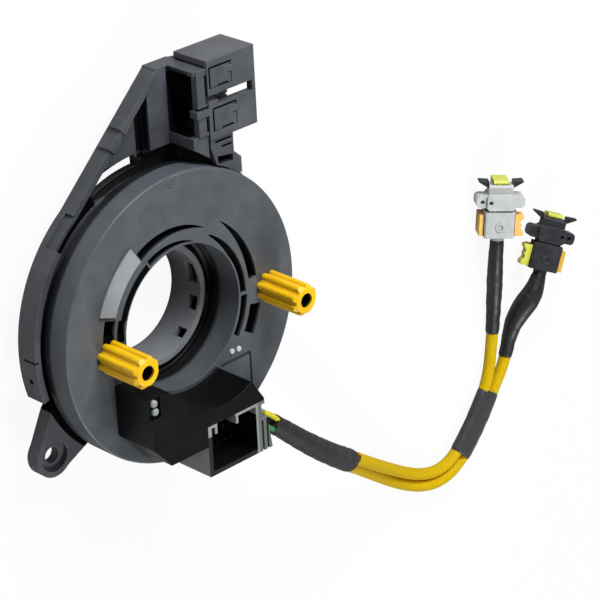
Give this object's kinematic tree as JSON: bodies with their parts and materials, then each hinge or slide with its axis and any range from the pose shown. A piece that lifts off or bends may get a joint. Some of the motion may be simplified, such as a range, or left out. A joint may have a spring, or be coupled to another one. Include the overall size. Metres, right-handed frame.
{
  "type": "steering clock spring",
  "caption": "Steering clock spring: a fixed shell with an arm and sockets, and a turning disc with drive pins, a switch socket and a yellow harness to airbag plugs.",
  "frame": {"origin": "on the bore axis, at the rear end of the column spigot", "axes": "+Z along the bore towards the driver, +Y towards the arm with the vehicle sockets, -Y towards the switch socket"},
  "size_m": [0.2633, 0.2124, 0.0442],
  "materials": {
    "shell_plastic": "moulded, satin",
    "rotor_plastic": "moulded, fine grain",
    "black_plastic": "moulded, satin",
    "light_plastic": "moulded, satin",
    "grey_plastic": "moulded, satin",
    "pin_plastic": "moulded, semi-gloss",
    "terminal_metal": "tinned",
    "screw_steel": "zinc plated",
    "ribbon_film": "laminated film",
    "braid_yellow": "braided sleeve",
    "tape_black": "cloth tape",
    "sleeve_grey": "shrunk sleeve",
    "wire_cover": "insulation",
    "plug_light": "moulded",
    "plug_dark": "moulded",
    "lock_orange": "moulded",
    "lock_green": "moulded"
  },
  "bodies": {
    "stator": {"stator_housing": "shell_plastic", "vehicle_socket": "grey_plastic", "socket_locks": "grey_plastic", "vehicle_terminals": "terminal_metal", "column_bush": "grey_plastic", "bush_screws": "screw_steel", "outer_ribbon_block": "light_plastic", "ribbon_coil": "ribbon_film"},
    "rotor": {"rotor_disc": "rotor_plastic", "face_cap": "light_plastic", "drive_pin_left": "pin_plastic", "drive_pin_right": "pin_plastic", "inner_ribbon_block": "light_plastic", "switch_housing": "black_plastic", "housing_bosses": "light_plastic", "switch_socket": "grey_plastic", "switch_terminals": "terminal_metal", "wire_retainer": "grey_plastic", "pigtail_wires": "wire_cover", "trunk_wrap": "tape_black", "lead_a": "braid_yellow", "lead_b": "braid_yellow", "mid_sleeve": "sleeve_grey", "tape_a": "tape_black", "tape_b": "tape_black", "plug_a_body": "plug_light", "plug_a_band": "plug_light", "plug_b_body": "plug_dark", "plug_b_band": "plug_dark", "plug_a_wings": "plug_dark", "plug_b_wings": "plug_dark"},
    "lock_a": {"plug_a_lock": "lock_orange"},
    "lock_b": {"plug_b_lock": "lock_green"}
  },
  "joints": [
    {"name": "rotor_turn", "type": "hinge", "parent": "stator", "child": "rotor", "pos_m": [0, 0, 0], "axis": [0, 0, 1], "range_deg": [-900, 900]},
    {"name": "plug_a_lock_slide", "type": "slide", "parent": "rotor", "child": "lock_a", "axis": [0.1132, 0.9936, 0], "range_m": [0, 0.0025]},
    {"name": "plug_b_lock_slide", "type": "slide", "parent": "rotor", "child": "lock_b", "axis": [0.3987, 0.9171, 0], "range_m": [0, 0.0025]}
  ]
}
